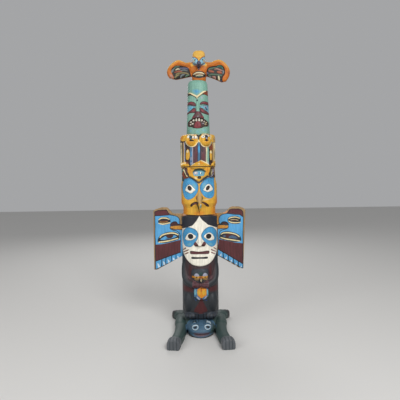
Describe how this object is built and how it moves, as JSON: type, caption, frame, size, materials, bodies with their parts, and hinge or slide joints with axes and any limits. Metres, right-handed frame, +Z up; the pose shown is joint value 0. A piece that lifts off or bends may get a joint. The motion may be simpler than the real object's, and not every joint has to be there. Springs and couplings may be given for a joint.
{
  "type": "totem pole",
  "caption": "Tall carved and painted wooden pole of stacked figures, with a board wing at each side, a spread-winged bird on top and a frog lying flat as its foot.",
  "frame": {"origin": "on the ground, under the axis of the pole, in the flat underside of the frog base", "axes": "+Z up along the pole, -Y towards the front that the faces look to, +X to the right seen from the front"},
  "size_m": [0.606, 0.588, 1.812],
  "materials": {
    "frog_paint": "worn satin grey-green paint on carved wood",
    "pole_paint": "worn satin paint in many flat colours on carved wood",
    "wing_paint": "worn satin paint in many flat colours on a carved board",
    "bird_paint": "worn satin orange and yellow paint on carved wood"
  },
  "bodies": {
    "root": {"frog_base": "frog_paint", "pole": "pole_paint", "wing_left": "wing_paint", "wing_right": "wing_paint", "thunderbird": "bird_paint"}
  },
  "joints": []
}
